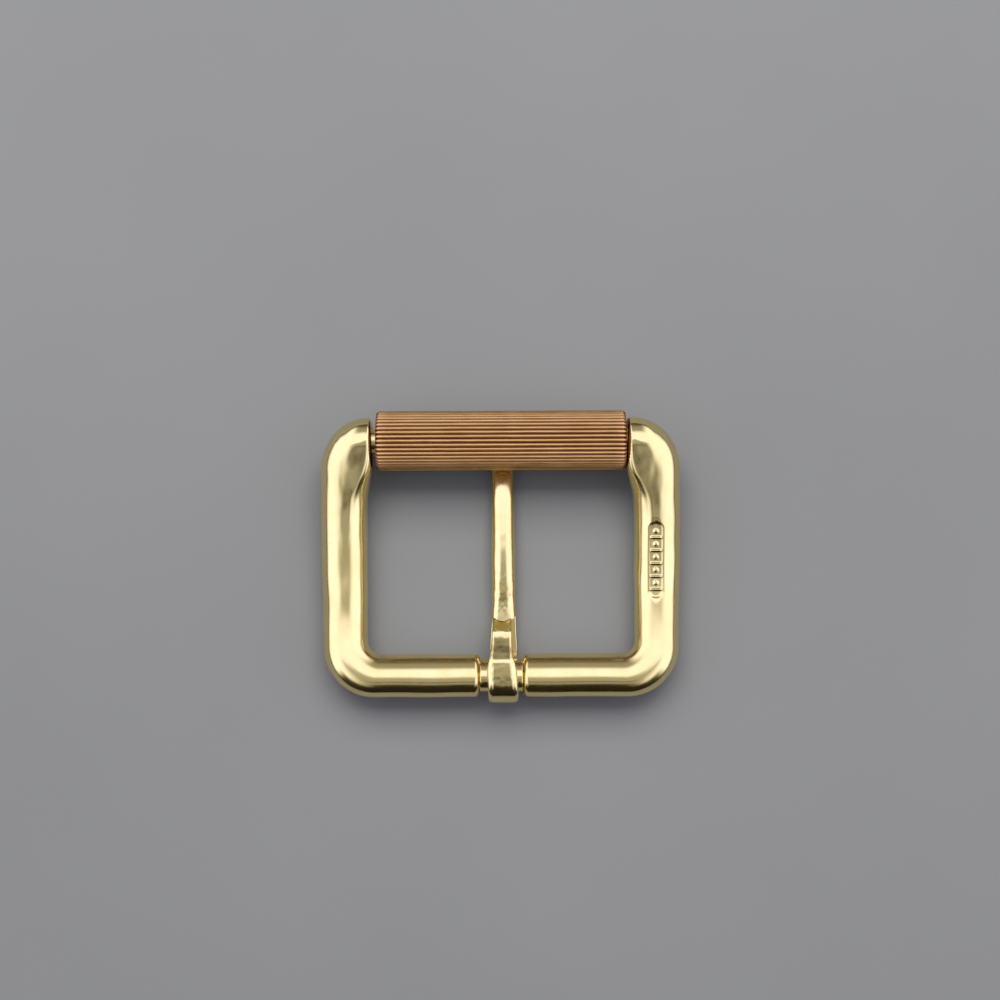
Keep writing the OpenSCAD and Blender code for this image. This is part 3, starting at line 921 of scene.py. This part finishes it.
def roller_bronze():
    """Satin bronze whose grooves are darkened by their depth with painted shade, the crests left lighter.
    """
    material = bpy.data.materials.new("roller_bronze")
    m = Nodes(material)
    place = m.place()
    axis = (0.0, -ROLLER_Y * MM, -ROLLER_Z * MM)
    across = m.add("ShaderNodeSeparateXYZ", {"Vector": m.mapped(place, Location=axis)})
    squares = (m.math("POWER", across.outputs[side], 2.0) for side in "YZ")
    radius = m.math("SQRT", m.math("ADD", *squares))
    low, high = ((ROLLER_R - RIB_DEPTH * share) * MM for share in (0.9, 0.15))
    crest = m.ranged(radius, low, high, 0.0, 1.0)
    streaks = m.noise(m.mapped(place, Scale=(0.12, 1.0, 1.0)), 2400, 3.0)
    cloud = m.noise(place, 330, 2.0)
    cloudy = m.ranged(cloud, 0.3, 0.7, 0.0, 1.0)
    warm = m.blend(cloudy, colour(0.80, 0.465, 0.18), colour(0.72, 0.395, 0.145))
    warm = m.blend(m.ranged(streaks, 0.35, 0.7, 0.0, 0.35), warm, colour(0.88, 0.58, 0.31))
    # Painted shade: the grooves take a dark colour by their depth, standing in for the shade that falls
    # in them
    tint = m.blend(crest, colour(0.20, 0.08, 0.026), warm)
    m.feed(m.shader.inputs["Base Color"], tint)
    m.shader.inputs["Metallic"].default_value = 1.0
    m.feed(m.shader.inputs["Roughness"], m.ranged(streaks, 0.3, 0.7, 0.30, 0.44))
    m.bump(streaks, 0.4, 0.00003)
    return material


def floor_material():
    """Pale matt studio floor."""
    material = bpy.data.materials.new("studio_floor")
    m = Nodes(material)
    cloudy = m.ranged(m.noise(m.place(), 9, 4.0), 0.3, 0.7, 0.0, 1.0)
    tint = m.blend(cloudy, colour(0.118, 0.118, 0.111), colour(0.128, 0.128, 0.120))
    m.feed(m.shader.inputs["Base Color"], tint)
    m.shader.inputs["Roughness"].default_value = 0.85
    m.shader.inputs["Specular IOR Level"].default_value = 0.2
    return material


def dress(piece, material, body):
    """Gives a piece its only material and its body."""
    piece.data.materials.clear()
    piece.data.materials.append(material)
    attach(piece, body)


def build_floor():
    bpy.ops.mesh.primitive_plane_add(size=FLOOR_SIZE, location=(0, 0, -FLOOR_GAP * MM))
    floor = bpy.context.active_object
    floor.name = "studio_floor"
    floor.data.materials.append(floor_material())


def build_world():
    """Soft light from both sides and from the head of the table, dim straight above and dark at its foot.

    Each light is a strength by the direction that it comes from: x across the buckle, y from its heel
    to its roller, z up.
    """
    world = bpy.data.worlds.new("studio")
    bpy.context.scene.world = world
    w = Nodes(world, "Background")
    split = w.add("ShaderNodeSeparateXYZ", {"Vector": w.add("ShaderNodeTexCoord").outputs["Generated"]})
    x, y, z = (split.outputs[axis] for axis in "XYZ")
    aside = w.math("ABSOLUTE", x)
    off_corner = w.eased(w.math("DIVIDE", y, aside), -1.0, -0.5, 0.03, 1.0)
    lit = w.math("MAXIMUM", off_corner, w.eased(z, 0.48, 0.74, 0.0, 1.0))
    beside = w.times(w.eased(aside, 0.04, 0.62, 0.0, SIDE_LIGHT), lit)
    ahead = w.times(w.eased(y, -0.115, 0.055, 0.0, HEAD_LIGHT), w.eased(y, 0.52, 0.78, 1.0, 0.10))
    off_band = w.math("ABSOLUTE", w.math("ADD", y, 0.43))
    above = w.times(
        w.eased(y, -0.70, -0.52, FOOT_LIGHT, TOP_LIGHT),
        w.eased(off_band, 0.0, 0.075, 0.08, 1.0),
        w.eased(y, 0.5, 0.75, 1.0, 0.8),
        w.eased(y, 0.88, 0.97, 1.0, 0.5),
        w.eased(aside, 0.2, 0.5, 1.0, 0.25),
    )
    light = w.math("MAXIMUM", w.math("MAXIMUM", beside, ahead), above)
    tint = w.blend(w.ranged(light, 0.02, 0.25, 0.0, 1.0), colour(1.0, 0.74, 0.48), colour(1.0, 1.0, 1.0))
    tint = w.blend(w.ranged(light, 0.45, 1.1, 0.0, 1.0), tint, colour(1.0, 1.02, 1.3))
    w.feed(w.shader.inputs["Color"], tint)
    w.feed(w.shader.inputs["Strength"], w.times(light, w.eased(z, 0.04, 0.26, 0.06, 1.0)))


def build_lamp():
    """A large softbox beyond the roller, which gives the shadows their direction."""
    data = bpy.data.lights.new("softbox", "AREA")
    data.shape = "RECTANGLE"
    data.size, data.size_y = LAMP_SIZE
    data.energy = LAMP_POWER
    lamp = bpy.data.objects.new("softbox", data)
    bpy.context.scene.collection.objects.link(lamp)
    lamp.location = LAMP_PLACE
    lamp.visible_glossy = False
    lamp.rotation_euler = (-lamp.location).to_track_quat("-Z", "Y").to_euler()


def build_camera():
    """Straight above, with a long lens."""
    data = bpy.data.cameras.new("camera")
    data.sensor_width = SENSOR_W
    data.lens = SENSOR_W * CAMERA_DISTANCE / VIEW_W
    camera = bpy.data.objects.new("camera", data)
    bpy.context.scene.collection.objects.link(camera)
    x, y, z = CAMERA_AIM
    camera.location = (x * MM, y * MM, (z + CAMERA_DISTANCE) * MM)
    camera.rotation_euler = (0, 0, CAMERA_TURN)
    bpy.context.scene.camera = camera


cast_frame = build_frame()
pin = build_pin(cast_frame)
prong = build_prong()
roller = build_roller()
sharpen(cast_frame, 50)
sharpen(pin, 40)
sharpen(prong, 50)
sharpen(roller, 60)

frame_brass = brass("polished_brass", (0.90, 0.75, 0.365), (0.87, 0.70, 0.31), 0.13, 0.20)
prong_brass = brass("prong_brass", (0.90, 0.745, 0.375), (0.86, 0.69, 0.31), 0.13, 0.21)
pin_brass = brass("pin_brass", (0.84, 0.70, 0.38), (0.78, 0.62, 0.30), 0.18, 0.28)

dress(cast_frame, frame_brass, "frame")
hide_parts("frame")
dress(prong, prong_brass, "prong")
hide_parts("prong")
dress(roller, roller_bronze(), "roller")
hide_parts("roller")
dress(pin, pin_brass, "frame")
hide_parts("roller_pin")

build_floor()
build_world()
build_lamp()
build_camera()
bpy.context.scene.view_settings.view_transform = "Standard"
